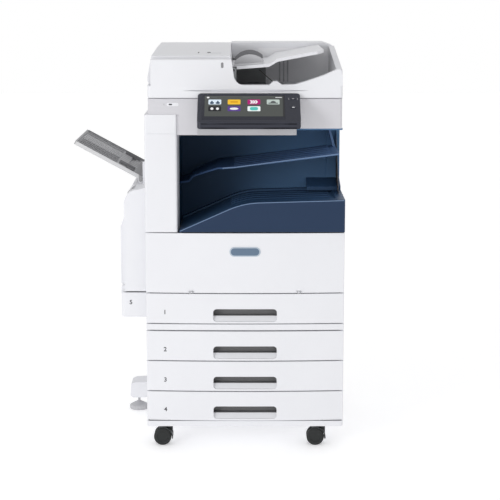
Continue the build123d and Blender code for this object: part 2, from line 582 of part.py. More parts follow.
with BuildPart() as panel_bracket:
    slab((-131, 141), (-2, SCAN_FRONT), (BLOCK_BOTTOM, 985))
    for u in PANEL_LUGS:
        slab((u - 6, u + 6), (PANEL_PIN[0], 0), (PANEL_PIN[1] - 7, PANEL_PIN[1] + 7))
        rod(side_plane(u - 6), PANEL_PIN, 7, 12)
        rod(side_plane(u - 7), PANEL_PIN, PANEL_PIN_R + FIT, 14, mode=Mode.SUBTRACT)
save(panel_bracket.part, "panel_bracket")

with BuildPart() as panel_housing:
    outline(side_plane(PANEL_LEFT),
            [(PANEL_FRONT, PANEL_LOW - 19), (PANEL_FRONT, PANEL_LOW), (PANEL_BACK, PANEL_HIGH),
             (PANEL_BACK, PANEL_HIGH - 20), (-40, 972)],
            PANEL_RIGHT - PANEL_LEFT)
    corners = panel_housing.edges().filter_by(lambda e: e.center().Y < FRONT_Y + PANEL_FRONT + 1)
    fillet(corners.filter_by(Axis.Z), 9)
    rear_corners = panel_housing.edges().filter_by(Axis.Z).group_by(Axis.Y)[-1]
    fillet(rear_corners, 9)
    with BuildSketch(PANEL_FACE.offset(-SHELL)):
        with Locations((sum(SCREEN_U) / 2, sum(SCREEN_RUN) / 2)):
            Rectangle(SCREEN_U[1] - SCREEN_U[0], SCREEN_RUN[1] - SCREEN_RUN[0])
    extrude(amount=SHELL + 2, mode=Mode.SUBTRACT)
    for run in KEYS.values():
        with BuildSketch(PANEL_FACE.offset(-6)):
            with Locations((KEY_U, run)):
                SlotOverall(KEY_SIZE[0] + 2 * CLEAR, KEY_SIZE[1] + 2 * CLEAR)
        extrude(amount=8, mode=Mode.SUBTRACT)
    for u in PANEL_LUGS:
        slab((u + 7, u + 17), (PANEL_PIN[0] - 6, PANEL_PIN[0] + 6), (PANEL_PIN[1], 984))
        rod(side_plane(u + 7), PANEL_PIN, 6, 10)
        rod(side_plane(u - 6), PANEL_PIN, PANEL_PIN_R, 20)
save(panel_housing.part, "panel_housing")

with BuildPart() as touch_screen:
    with BuildSketch(PANEL_FACE.offset(-SHELL)):
        with Locations((sum(SCREEN_U) / 2, sum(SCREEN_RUN) / 2)):
            Rectangle(SCREEN_U[1] - SCREEN_U[0], SCREEN_RUN[1] - SCREEN_RUN[0])
    extrude(amount=SHELL)
save(touch_screen.part, "touch_screen")

for key, run in KEYS.items():
    with BuildPart() as button:
        with BuildSketch(PANEL_FACE.offset(-3)):
            with Locations((KEY_U, run)):
                SlotOverall(*KEY_SIZE)
        extrude(amount=4)
    save(button.part, key)

# --- left side: door, lower cover, bypass tray ---
DOOR_SKIN = -338.0
BULGE_SKIN = -354.0
SIDE_COVER_Z = (376.0, 446.0)
SIDE_DOOR_Z = (450.0, 735.0)
SIDE_D = (38.0, 560.0)
SIDE_PIN = (-342.5, 458.0)      # u and z of the side door's hinge axis
SIDE_PIN_R = 4.0
BYPASS_PIN = (-300.0, 748.0)    # u and z of the bypass tray's hinge axis
BYPASS_PIN_R = 4.0
BYPASS_D = (180.0, 530.0)
BYPASS_ANGLE = 28.5
BYPASS_THICK = 11.0

with BuildPart() as lower_side_cover:
    slab((-348, -HALF_W), SIDE_D, SIDE_COVER_Z)
    fillet(lower_side_cover.edges().filter_by(Axis.Z).sort_by(Axis.X)[:2], 12)
    fillet(lower_side_cover.faces().sort_by(Axis.Z)[0].edges(), 3)
    slab((-344, -HALF_W + 1), (SIDE_D[0] + 4, SIDE_D[1] - 4), (SIDE_COVER_Z[0] + 4, SIDE_COVER_Z[1] - 4),
         mode=Mode.SUBTRACT)
    for d in SIDE_D:
        lug = (d + 14, d + 24) if d == SIDE_D[0] else (d - 24, d - 14)
        slab((SIDE_PIN[0] - 6, SIDE_PIN[0] + 6), lug, (SIDE_COVER_Z[1] - 4, SIDE_PIN[1]))
        rod(front_plane(lug[1]), SIDE_PIN, 6, 10)
        rod(front_plane(lug[1] + 1), SIDE_PIN, SIDE_PIN_R + FIT, 12, mode=Mode.SUBTRACT)
save(lower_side_cover.part, "lower_side_cover")

with BuildPart() as side_door:
    with BuildSketch(front_plane(SIDE_D[1])):
        with BuildLine():
            Polyline((DOOR_SKIN, 694), (DOOR_SKIN, SIDE_DOOR_Z[0]), (-278, SIDE_DOOR_Z[0]),
                     (-278, SIDE_DOOR_Z[1] + 8), (-300, SIDE_DOOR_Z[1] + 2))
            ThreePointArc((-300, SIDE_DOOR_Z[1] + 2), (-328, SIDE_DOOR_Z[1] - 11), (DOOR_SKIN, 694))
        make_face()
    extrude(amount=SIDE_D[1] - SIDE_D[0])
    slab((DOOR_SKIN + 4, -277), (SIDE_D[0] + 4, SIDE_D[1] - 4), (SIDE_DOOR_Z[0] - 1, 690), mode=Mode.SUBTRACT)
    outline(front_plane(500),
            [(DOOR_SKIN + 1, SIDE_DOOR_Z[0]), (BULGE_SKIN + 8, SIDE_DOOR_Z[0]), (BULGE_SKIN, SIDE_DOOR_Z[0] + 8),
             (BULGE_SKIN, 622), (BULGE_SKIN + 4, 634), (DOOR_SKIN + 1, 668)],
            380)
    for d in SIDE_D:
        lug = (d + 25, d + 35) if d == SIDE_D[0] else (d - 35, d - 25)
        notch = (d + 13.5, d + 24.5) if d == SIDE_D[0] else (d - 24.5, d - 13.5)
        slab((SIDE_PIN[0] - 8, -333), notch, (SIDE_DOOR_Z[0] - 1, SIDE_PIN[1] + 8), mode=Mode.SUBTRACT)
        slab((SIDE_PIN[0], -334), lug, (SIDE_PIN[1] - 4, SIDE_PIN[1] + 6))
        rod(front_plane(lug[1]), SIDE_PIN, 6, 10)
        pin_end = lug[1] if d == SIDE_D[0] else lug[1] + 11
        rod(front_plane(pin_end), SIDE_PIN, SIDE_PIN_R, 21)
    # neck and the two ears that carry the bypass tray
    for ear in ((BYPASS_D[0] + 12, BYPASS_D[0] + 22), (BYPASS_D[1] - 22, BYPASS_D[1] - 12)):
        slab((BYPASS_PIN[0] - 7, BYPASS_PIN[0] + 7), ear, (SIDE_DOOR_Z[1] - 15, BYPASS_PIN[1]))
        rod(front_plane(ear[1]), BYPASS_PIN, 7, 10)
        rod(front_plane(ear[1] + 1), BYPASS_PIN, BYPASS_PIN_R + FIT, 12, mode=Mode.SUBTRACT)
    slab((-282, -278), (BYPASS_D[0] - 3, BYPASS_D[1] + 3), (SIDE_DOOR_Z[1], 750))
    slab((-282, -278), (BYPASS_D[0] - 3, BYPASS_D[1] + 3), (785, 800))
    for d in (BYPASS_D[0] - 12, BYPASS_D[1] + 2):
        slab((-293, -278), (d, d + 10), (SIDE_DOOR_Z[1] - 10, 800))
save(side_door.part, "side_door")

BYPASS_FACE = Plane(
    origin=(MID_X + BYPASS_PIN[0], FRONT_Y, BYPASS_PIN[1]),
    x_dir=(-math.cos(math.radians(BYPASS_ANGLE)), 0, math.sin(math.radians(BYPASS_ANGLE))),
    z_dir=(math.sin(math.radians(BYPASS_ANGLE)), 0, math.cos(math.radians(BYPASS_ANGLE))),
)
# On this plane x runs out along the tray and y runs forwards, so a depth d is at -d.
TRAY_RISE = 10.0
under_tip = (BYPASS_THICK - TRAY_RISE) * BYPASS_FACE.z_dir.X
reach = (BYPASS_REACH + BYPASS_PIN[0] - under_tip) / -BYPASS_FACE.x_dir.X
BYPASS_SLOT = (40.0, 52.0)
POCKET = 3.6            # depth of the tray's ribbed pocket


def on_bypass(x, d, z, mode=Mode.ADD):
    """A box on the bypass tray's plane: x out along it, d back, z off it."""
    with BuildSketch(BYPASS_FACE.offset(z[0])) as section:
        with Locations((sum(x) / 2, -sum(d) / 2)):
            Rectangle(x[1] - x[0], d[1] - d[0])
    extrude(section.sketch, amount=z[1] - z[0], mode=mode)


with BuildPart() as bypass_tray:
    with BuildSketch(BYPASS_FACE.offset(TRAY_RISE - BYPASS_THICK)):
        with Locations((reach / 2, -sum(BYPASS_D) / 2)):
            Rectangle(reach, BYPASS_D[1] - BYPASS_D[0])
    extrude(amount=BYPASS_THICK)
    fillet(bypass_tray.edges().filter_by(lambda e: abs(e.length - BYPASS_THICK) < 0.01).sort_by(Axis.X)[:2], 14)
    on_bypass((6, reach - 6), (BYPASS_D[0] + 6, BYPASS_D[1] - 6), (TRAY_RISE - POCKET, TRAY_RISE + 1),
              mode=Mode.SUBTRACT)
    for rib in range(9):
        across = BYPASS_D[0] + 26 + rib * 36
        on_bypass((84, reach - 10), (across, across + 4), (TRAY_RISE - POCKET - 1, TRAY_RISE - 0.4))
    on_bypass(BYPASS_SLOT, (BYPASS_D[0] + 20, BYPASS_D[1] - 20), (TRAY_RISE - 8, TRAY_RISE + 1),
              mode=Mode.SUBTRACT)
    rod(front_plane(BYPASS_D[1]), BYPASS_PIN, 6, BYPASS_D[1] - BYPASS_D[0])
    for ear in ((BYPASS_D[0] + 12, BYPASS_D[0] + 22), (BYPASS_D[1] - 22, BYPASS_D[1] - 12)):
        slab((BYPASS_PIN[0] - 24, BYPASS_PIN[0] + 14), (ear[0] - 0.5, ear[1] + 0.5),
             (BYPASS_PIN[1] - 14, BYPASS_PIN[1] + 26), mode=Mode.SUBTRACT)
        rod(front_plane(ear[1] + 2), BYPASS_PIN, BYPASS_PIN_R, 14)
save(bypass_tray.part, "bypass_tray")


def bypass_guide(d, outward):
    """An L-shaped paper stop with a tongue in the tray's slot."""
    floor = TRAY_RISE - POCKET + CLEAR
    back = sorted((d, d + outward * 26))
    with BuildPart() as guide:
        on_bypass((28, 78), sorted((d, d + outward * 5)), (floor, floor + 10))
        on_bypass((28, 53.5), back, (floor, floor + 3))
        on_bypass((BYPASS_SLOT[0] + CLEAR, BYPASS_SLOT[1] - CLEAR), back, (TRAY_RISE - 7, floor + 1))
    return guide.part


save(bypass_guide(BYPASS_D[0] + 56, -1), "bypass_guide_front")
save(bypass_guide(BYPASS_D[1] - 56, 1), "bypass_guide_rear")

# --- stabiliser: an arm out of the plinth's side, with a screw foot ---
FOOT = (-329.0, 433.0)
FOOT_STUD_R = 4.0
with BuildPart() as stabilizer_arm:
    outline(front_plane(FOOT[1] + 40),
            [(-HALF_W, 50), (-HALF_W, 94), (-338, 92), (-351, 86), (-353, 50), (-346, 44), (-312, 44)],
            80)
    fillet(stabilizer_arm.edges().filter_by(Axis.Y).sort_by(Axis.X)[:2], 3)
    rod(floor_plane(39), FOOT, FOOT_STUD_R + FIT, 45, mode=Mode.SUBTRACT)
save(stabilizer_arm.part, "stabilizer_arm")

with BuildPart() as levelling_foot:
    with BuildSketch(side_plane(FOOT[0])):
        with BuildLine():
            Polyline((FOOT[1], 0), (FOOT[1] + 27, 0), (FOOT[1] + 29, 3), (FOOT[1] + 29, 12), (FOOT[1] + 24, 15),
                     (FOOT[1] + 7, 24), (FOOT[1] + FOOT_STUD_R, 24), (FOOT[1] + FOOT_STUD_R, 60), (FOOT[1], 60),
                     close=True)
        make_face()
    revolve(axis=Axis((MID_X + FOOT[0], FRONT_Y + FOOT[1], 0), (0, 0, 1)))
    with BuildSketch(floor_plane(3)):
        with Locations(FOOT):
            with PolarLocations(30.5, 20):
                Circle(3)
    extrude(amount=14, mode=Mode.SUBTRACT)
save(levelling_foot.part, "levelling_foot")

# --- inside: imaging, power and control ---
TONER_Z = 578.0
TONERS = {"toner_yellow": -150.0, "toner_magenta": -50.0, "toner_cyan": 50.0, "toner_black": 150.0}
for name, u in TONERS.items():
    with BuildPart() as toner:
        rod(front_plane(300), (u, TONER_Z), 30, 260)
        slab((u - 20, u + 20), (44, 296), (TONER_Z - 36, TONER_Z - 20))
        rod(front_plane(40), (u, TONER_Z), 18, 6)
        slab((u - 3, u + 3), (30, 41), (TONER_Z - 14, TONER_Z + 14))
    save(toner.part, name)

BELT_Z = (500.0, 542.0)
with BuildPart() as transfer_belt_unit:
    with BuildSketch(front_plane(390)):
        with Locations((0, sum(BELT_Z) / 2)):
            SlotOverall(420, BELT_Z[1] - BELT_Z[0])
            SlotOverall(412, BELT_Z[1] - BELT_Z[0] - 8, mode=Mode.SUBTRACT)
    extrude(amount=330)
    for u in (-189.0, 0.0, 189.0):
        rod(front_plane(391), (u, sum(BELT_Z) / 2), 15, 332)
    slab((-200, 200), (56, 60), (BELT_Z[0] - 6, BELT_Z[1]))
    slab((-200, 200), (390, 394), (BELT_Z[0] - 6, BELT_Z[1]))
    for u in (-189.0, 189.0):
        rod(front_plane(394), (u, sum(BELT_Z) / 2), 8, 338)
save(transfer_belt_unit.part, "transfer_belt_unit")

with BuildPart() as laser_unit:
    slab((-210, 210), (56, 394), (DOOR_BOTTOM + GAP, 494))
    fillet(laser_unit.edges().filter_by(Axis.Z), 6)
    for u in TONERS.values():
        slab((u - 4, u + 4), (70, 380), (486, 495), mode=Mode.SUBTRACT)
save(laser_unit.part, "laser_unit")

with BuildPart() as fuser_unit:
    slab((-262, -216), (112, 498), (545, 610))
    slab((-270, -222), (118, 492), (552, 603), mode=Mode.SUBTRACT)
    for z in (566.0, 590.0):
        rod(front_plane(497), (-240, z), 11, 384)
save(fuser_unit.part, "fuser_unit")

with BuildPart() as power_supply:
    slab((60, 250), (500, FRAME_BACK - SHEET), (DOOR_BOTTOM + GAP, 600))
    slab((64, 246), (504, FRAME_BACK - SHEET - 4), (DOOR_BOTTOM + 6, 596), mode=Mode.SUBTRACT)
    with BuildSketch(front_plane(510)):
        with Locations((155, 530)):
            with GridLocations(0, 14, 1, 7):
                SlotOverall(140, 6)
    extrude(amount=12, mode=Mode.SUBTRACT)
save(power_supply.part, "power_supply")

with BuildPart() as main_board:
    slab((-200, 80), (572, 574), (640, 860))
    for u, z in ((-190, 650), (70, 650), (-190, 850), (70, 850)):
        rod(front_plane(FRAME_BACK - SHEET), (u, z), 4, FRAME_BACK - SHEET - 573)
    slab((-90, -30), (562, 573), (720, 780))
    for u in (-170, -150, 0, 20, 40):
        slab((u, u + 10), (556, 573), (700, 800))
save(main_board.part, "main_board")

with BuildPart() as mains_inlet:
    slab((INLET_U - 26, INLET_U + 26), (FRAME_BACK, DEPTH - 1), (INLET_Z - 16, INLET_Z + 16))
    slab((INLET_U - 18, INLET_U + 18), (FRAME_BACK + 3, DEPTH), (INLET_Z - 12, INLET_Z + 12), mode=Mode.SUBTRACT)
    for u in (-8, 0, 8):
        slab((INLET_U + u - 1, INLET_U + u + 1), (FRAME_BACK + 2, DEPTH - 3), (INLET_Z - 3, INLET_Z + 3))
save(mains_inlet.part, "mains_inlet")

with BuildPart() as cover_screws:
    places = [(u, z) for u in (-255, 255) for z in (110, 330, 560, 880)]
    with BuildSketch(front_plane(DEPTH + SCREW_HEAD)):
        with Locations(places):
            Circle(4)
    extrude(amount=SCREW_HEAD)
    with BuildSketch(front_plane(DEPTH + SCREW_HEAD + 0.5)):
        with Locations(places):
            Rectangle(5, 1)
            Rectangle(1, 5)
    extrude(amount=1.5, mode=Mode.SUBTRACT)
save(cover_screws.part, "cover_screws")
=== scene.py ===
import math

import bmesh
import bpy
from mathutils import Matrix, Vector


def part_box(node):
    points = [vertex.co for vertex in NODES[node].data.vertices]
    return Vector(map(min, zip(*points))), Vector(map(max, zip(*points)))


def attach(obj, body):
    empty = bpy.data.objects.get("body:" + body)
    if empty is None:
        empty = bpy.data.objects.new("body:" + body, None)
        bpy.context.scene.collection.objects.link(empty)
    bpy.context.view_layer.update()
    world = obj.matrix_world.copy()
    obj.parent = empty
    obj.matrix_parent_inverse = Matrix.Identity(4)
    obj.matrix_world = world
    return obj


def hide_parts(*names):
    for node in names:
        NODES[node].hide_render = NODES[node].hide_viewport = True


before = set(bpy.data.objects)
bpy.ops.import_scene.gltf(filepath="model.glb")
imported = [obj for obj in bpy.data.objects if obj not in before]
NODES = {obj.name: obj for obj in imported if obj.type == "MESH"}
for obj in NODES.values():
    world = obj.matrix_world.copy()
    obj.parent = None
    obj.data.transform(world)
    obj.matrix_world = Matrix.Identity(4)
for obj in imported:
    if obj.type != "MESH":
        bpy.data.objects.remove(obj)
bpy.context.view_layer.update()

# Places are given as u, d, z in millimetres: u sideways from the cabinet's centre plane, d back from its
# front plane, z up from the floor. The plinth gives the centre plane, and the band its front.
MM = 0.001
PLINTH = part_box("plinth")
MID_X = (PLINTH[0].x + PLINTH[1].x) / 2
FRONT_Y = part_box("base_band")[0].y - 1 * MM
RIGHT = Vector((1, 0, 0))
BACK = Vector((0, 1, 0))
UP = Vector((0, 0, 1))


def at(u, d, z):
    """The place of u, d, z in metres."""
    return Vector((MID_X + u * MM, FRONT_Y + d * MM, z * MM))


# ---------------------------------------------------------------- materials
def new_material(name):
    """A new material, its node tree and its shader."""
    mat = bpy.data.materials.new(name)
    mat.use_nodes = True
    tree = mat.node_tree
    return mat, tree, tree.nodes["Principled BSDF"]


def mottle(tree, shader, colour, amount, scale):
    """Base colour that drifts a little lighter and darker over the surface."""
    coords = tree.nodes.new("ShaderNodeTexCoord")
    noise = tree.nodes.new("ShaderNodeTexNoise")
    noise.inputs["Scale"].default_value = scale
    noise.inputs["Detail"].default_value = 5
    ramp = tree.nodes.new("ShaderNodeValToRGB")
    ramp.color_ramp.elements[0].position = 0.3
    ramp.color_ramp.elements[1].position = 0.7
    ramp.color_ramp.elements[0].color = [c * (1 - amount) for c in colour] + [1]
    ramp.color_ramp.elements[1].color = [min(1, c * (1 + amount)) for c in colour] + [1]
    tree.links.new(coords.outputs["Object"], noise.inputs["Vector"])
    tree.links.new(noise.outputs["Fac"], ramp.inputs["Fac"])
    tree.links.new(ramp.outputs["Color"], shader.inputs["Base Color"])
    return coords, ramp


def grain(tree, shader, coords, scale, strength, distance=0.0004):
    """Fine moulded or cast texture as bump, and the same grain in the roughness."""
    fine = tree.nodes.new("ShaderNodeTexNoise")
    fine.inputs["Scale"].default_value = scale
    fine.inputs["Detail"].default_value = 3
    bump = tree.nodes.new("ShaderNodeBump")
    bump.inputs["Strength"].default_value = strength
    bump.inputs["Distance"].default_value = distance
    tree.links.new(coords.outputs["Object"], fine.inputs["Vector"])
    tree.links.new(fine.outputs["Fac"], bump.inputs["Height"])
    tree.links.new(bump.outputs["Normal"], shader.inputs["Normal"])
    return fine


def rough_range(tree, shader, source, low, high):
    """Spreads the roughness between two values by a noise."""
    spread = tree.nodes.new("ShaderNodeMapRange")
    spread.inputs["To Min"].default_value = low
    spread.inputs["To Max"].default_value = high
    tree.links.new(source.outputs["Fac"], spread.inputs["Value"])
    tree.links.new(spread.outputs["Result"], shader.inputs["Roughness"])


def zone_mask(tree, coords, low, high):
    """1 inside a box given in u, d, z millimetres, 0 outside it."""
    low, high = at(*low), at(*high)
    shifted = tree.nodes.new("ShaderNodeVectorMath")
    shifted.operation = "SUBTRACT"
    shifted.inputs[1].default_value = (low + high) / 2
    scaled = tree.nodes.new("ShaderNodeVectorMath")
    scaled.operation = "DIVIDE"
    scaled.inputs[1].default_value = (high - low) / 2
    size = tree.nodes.new("ShaderNodeVectorMath")
    size.operation = "ABSOLUTE"
    parts = tree.nodes.new("ShaderNodeSeparateXYZ")
    tree.links.new(coords.outputs["Object"], shifted.inputs[0])
    tree.links.new(shifted.outputs["Vector"], scaled.inputs[0])
    tree.links.new(scaled.outputs["Vector"], size.inputs[0])
    tree.links.new(size.outputs["Vector"], parts.inputs["Vector"])
    largest = parts.outputs["X"]
    for axis in ("Y", "Z"):
        wider = tree.nodes.new("ShaderNodeMath")
        wider.operation = "MAXIMUM"
        tree.links.new(largest, wider.inputs[0])
        tree.links.new(parts.outputs[axis], wider.inputs[1])
        largest = wider.outputs["Value"]
    inside = tree.nodes.new("ShaderNodeMath")
    inside.operation = "LESS_THAN"
    inside.inputs[1].default_value = 1.0
    tree.links.new(largest, inside.inputs[0])
    return inside


def paint_zones(tree, shader, coords, zones):
    """Recolours boxes of the surface: each zone is a low corner, a high corner and a colour."""
    for low, high, colour in zones:
        below = shader.inputs["Base Color"].links[0].from_socket
        mask = zone_mask(tree, coords, low, high)
        mix = tree.nodes.new("ShaderNodeMix")
        mix.data_type = "RGBA"
        mix.inputs[7].default_value = (*colour, 1)
        tree.links.new(mask.outputs["Value"], mix.inputs["Factor"])
        tree.links.new(below, mix.inputs[6])
        tree.links.new(mix.outputs[2], shader.inputs["Base Color"])


def fade(tree, shader, coords, low_u, high_u, colour):
    """Blends the base colour over to another from one place sideways to the next."""
    below = shader.inputs["Base Color"].links[0].from_socket
    parts = tree.nodes.new("ShaderNodeSeparateXYZ")
    part = tree.nodes.new("ShaderNodeMapRange")
    part.interpolation_type = "SMOOTHSTEP"
    part.inputs["From Min"].default_value = at(low_u, 0, 0).x
    part.inputs["From Max"].default_value = at(high_u, 0, 0).x
    mix = tree.nodes.new("ShaderNodeMix")
    mix.data_type = "RGBA"
    mix.inputs[7].default_value = (*colour, 1)
    tree.links.new(coords.outputs["Object"], parts.inputs["Vector"])
    tree.links.new(parts.outputs["X"], part.inputs["Value"])
    tree.links.new(part.outputs["Result"], mix.inputs["Factor"])
    tree.links.new(below, mix.inputs[6])
    tree.links.new(mix.outputs[2], shader.inputs["Base Color"])


def plastic(name, colour, rough=0.42, bump=0.12, scale=900, amount=0.012, coat=0.0, specular=0.5,
            zones=(), faded=()):
    """Moulded plastic or painted sheet, with recoloured zones and a fade from one side to the other."""
    mat, tree, shader = new_material(name)
    coords, ramp = mottle(tree, shader, colour, amount, 6)
    if faded:
        fade(tree, shader, coords, *faded)
    fine = grain(tree, shader, coords, scale, bump)
    rough_range(tree, shader, fine, rough - 0.05, rough + 0.05)
    paint_zones(tree, shader, coords, zones)
    shader.inputs["Coat Weight"].default_value = coat
    shader.inputs["Specular IOR Level"].default_value = specular
    return mat


def brushed(name, colour, along=(4, 700, 700)):
    """Bare metal with fine lines drawn out sideways."""
    mat, tree, shader = new_material(name)
    coords, ramp = mottle(tree, shader, colour, 0.05, 10)
    stretch = tree.nodes.new("ShaderNodeMapping")
    stretch.inputs["Scale"].default_value = along
    lines = tree.nodes.new("ShaderNodeTexNoise")
    lines.inputs["Scale"].default_value = 3
    lines.inputs["Detail"].default_value = 6
    bump = tree.nodes.new("ShaderNodeBump")
    bump.inputs["Strength"].default_value = 0.15
    bump.inputs["Distance"].default_value = 0.0002
    tree.links.new(coords.outputs["Object"], stretch.inputs["Vector"])
    tree.links.new(stretch.outputs["Vector"], lines.inputs["Vector"])
    tree.links.new(lines.outputs["Fac"], bump.inputs["Height"])
    tree.links.new(bump.outputs["Normal"], shader.inputs["Normal"])
    rough_range(tree, shader, lines, 0.25, 0.5)
    shader.inputs["Metallic"].default_value = 1.0
    return mat


def clear_glass(name):
    """Flat glass with a green cast."""
    mat, tree, shader = new_material(name)
    coords, ramp = mottle(tree, shader, (0.62, 0.7, 0.68), 0.02, 4)
    fine = grain(tree, shader, coords, 40, 0.02)
    rough_range(tree, shader, fine, 0.02, 0.06)
    shader.inputs["Transmission Weight"].default_value = 0.85
    shader.inputs["IOR"].default_value = 1.5
    return mat


def lit(name, colour, strength, amount=0.02):
    """A lit tile behind the screen glass: nearly black when off, so its colour is its own light."""
    mat, tree, shader = new_material(name)
    coords, ramp = mottle(tree, shader, colour, amount, 60)
    tree.links.new(ramp.outputs["Color"], shader.inputs["Emission Color"])
    tree.links.remove(shader.inputs["Base Color"].links[0])
    shader.inputs["Base Color"].default_value = (0.004, 0.004, 0.005, 1)
    shader.inputs["Specular IOR Level"].default_value = 0.2
    fine = grain(tree, shader, coords, 400, 0.02)
    rough_range(tree, shader, fine, 0.25, 0.35)
    shader.inputs["Emission Strength"].default_value = strength
    return mat


def metallic(mat, amount):
    """Gives a painted material some metal under it."""
    mat.node_tree.nodes["Principled BSDF"].inputs["Metallic"].default_value = amount
    return mat


WHITE_RGB = (0.78, 0.785, 0.815)
WHITE = plastic("white_shell", WHITE_RGB, 0.5, specular=0.35)
# The scanner uses a darker copy of the shell's white: painted shade.
SCANNER_WHITE_PAINTED_SHADE = plastic("scanner_shell_painted_shade", (0.62, 0.615, 0.645), 0.45, specular=0.35)
# Behind its front skirt the lower output tray is painted a lighter blue: painted light on its upward faces
TRAY_FLOOR_PAINTED_LIGHT = ((-190, 4, 610), (280, 300, 765), (0.034, 0.080, 0.165))
NAVY = plastic("navy_shell", (0.014, 0.034, 0.080), 0.42, bump=0.1, specular=0.25, zones=[TRAY_FLOOR_PAINTED_LIGHT])
# The upper tray is a lighter copy of the navy, and lighter still towards its right: painted light.
UPPER_TRAY_NAVY_PAINTED_LIGHT = plastic("upper_tray_navy_painted_light", (0.030, 0.066, 0.150), 0.42, bump=0.1, specular=0.3,
                    faded=(-120, 230, (0.095, 0.170, 0.320)))
# Light blue for the strips along the trays' front edges: painted highlights.
EDGE_HIGHLIGHT_NAVY = plastic("edge_highlight_navy", (0.150, 0.230, 0.370), 0.35, bump=0.05, specular=0.4)
# The bay liner grows lighter towards its right: painted light.
LINER_NAVY_PAINTED_LIGHT = plastic("liner_navy_painted_light", (0.014, 0.044, 0.100), 0.5, bump=0.1, specular=0.2,
                faded=(-170, 240, (0.085, 0.180, 0.330)))
DARK = plastic("dark_shell", (0.026, 0.028, 0.042), 0.35, bump=0.1, specular=0.35)
BLACK = plastic("black_plastic", (0.012, 0.012, 0.014), 0.4, bump=0.15)
MIDGREY = plastic("mid_grey_plastic", (0.23, 0.23, 0.24), 0.5, bump=0.25)
LIGHTGREY = plastic("light_grey_plastic", (0.52, 0.52, 0.54), 0.48, bump=0.2)
CASTER = plastic("caster_plastic", (0.022, 0.026, 0.026), 0.45, bump=0.3)
TYRE = plastic("tyre_rubber", (0.018, 0.020, 0.020), 0.75, bump=0.5, scale=500)
ROLLER = plastic("roller_rubber", (0.03, 0.03, 0.032), 0.8, bump=0.6, scale=700)
STEEL = brushed("brushed_bar", (0.46, 0.46, 0.48))
ZINC_RGB = (0.42, 0.43, 0.44)
ZINC = metallic(plastic("zinc_sheet", ZINC_RGB, 0.4, bump=0.1, amount=0.06), 0.8)
GLASS = clear_glass("platen_glass_clear")
SCREEN = plastic("screen_glass", (0.024, 0.026, 0.038), 0.18, bump=0.0, amount=0.03, specular=0.3)

# The feeder's output recess: painted light on its floor and back wall, painted shade on its right wall, and
# painted shade under the input tray
RECESS_FLOOR_PAINTED_LIGHT = ((-62, 26.5, 1005), (251, 437, 1029), (0.80, 0.80, 0.82))
RECESS_BACK_PAINTED_LIGHT = ((40, 437, 1005), (252, 439, 1112), (0.84, 0.84, 0.86))
RECESS_RIGHT_PAINTED_SHADE = ((249, 26.5, 1029), (250.8, 439, 1119), (0.76, 0.76, 0.78))
UNDER_TRAY_PAINTED_SHADE = ((-62, 26.5, 1005), (62, 439, 1082), (0.30, 0.31, 0.32))
FEEDER = plastic("feeder_shell_painted_light_and_shade", WHITE_RGB, 0.5, specular=0.35,
                 zones=[RECESS_FLOOR_PAINTED_LIGHT, RECESS_BACK_PAINTED_LIGHT, RECESS_RIGHT_PAINTED_SHADE, UNDER_TRAY_PAINTED_SHADE])
# The input tray's hinge lugs are painted near black: painted shade under the tray.
TRAY_HINGE_PAINTED_SHADE = ((-52, 26, 1050), (-23, 441, 1077), (0.05, 0.05, 0.055))
INPUT_TRAY = plastic("input_tray_shell", WHITE_RGB, 0.5, specular=0.35, zones=[TRAY_HINGE_PAINTED_SHADE])

# The bypass tray: a light front rim, and light ribs at even depths
RIB_START, RIB_PITCH, RIB_WIDTH, RIB_COUNT = 212, 34, 7, 9
BYPASS_RIM = ((-500, 170, 700), (-305, 185.8, 1100), (0.62, 0.62, 0.63))
BYPASS_RIBS = [
    ((-500, d, 700), (-318, d + RIB_WIDTH, 1100), (0.60, 0.60, 0.61))
    for d in (RIB_START + RIB_PITCH * rib for rib in range(RIB_COUNT))
]
BYPASS = plastic("bypass_plastic", (0.33, 0.33, 0.34), 0.55, bump=0.0, scale=300, amount=0.004, specular=0.25,
                 zones=[BYPASS_RIM, *BYPASS_RIBS])

# The frame is bare sheet, coloured the shell's white where the front door's hinge lugs show: painted light,
# so the door's notches look less dark
LUG_PAINTED_LIGHT = ((-164, -4, 446), (164, 14, 462), WHITE_RGB)
FRAME_SHEET = metallic(plastic("frame_sheet", ZINC_RGB, 0.4, bump=0.1, amount=0.06, zones=[LUG_PAINTED_LIGHT]), 0.5)

BOARD = plastic("circuit_board", (0.01, 0.16, 0.06), 0.35, bump=0.4, amount=0.15)
BELT = plastic("belt_film", (0.02, 0.02, 0.022), 0.25, bump=0.05)
TONER_COLOURS = {
    "black": (0.02, 0.02, 0.02), "cyan": (0.0, 0.22, 0.5),
    "magenta": (0.45, 0.01, 0.14), "yellow": (0.75, 0.5, 0.01),
}

NODE_MATERIALS = {
    "inner_frame": FRAME_SHEET, "adf_input_tray": INPUT_TRAY, "adf_base": FEEDER,
    "output_bay_liner": LINER_NAVY_PAINTED_LIGHT, "lower_output_tray": NAVY, "upper_output_tray": UPPER_TRAY_NAVY_PAINTED_LIGHT,
    "scanner_housing": SCANNER_WHITE_PAINTED_SHADE, "platen_glass": GLASS, "scanner_carriage": BLACK, "adf_feed_roller": ROLLER,
    "document_guide_rear": MIDGREY, "document_guide_front": LIGHTGREY, "panel_bracket": STEEL,
    "panel_housing": DARK, "touch_screen": SCREEN, "home_button": DARK, "power_button": DARK,
    "bypass_tray": BYPASS, "bypass_guide_front": MIDGREY, "bypass_guide_rear": MIDGREY,
    "levelling_foot": LIGHTGREY, "transfer_belt_unit": BELT, "laser_unit": BLACK, "fuser_unit": ZINC,
    "power_supply": ZINC, "main_board": BOARD, "mains_inlet": BLACK, "cover_screws": STEEL,
}
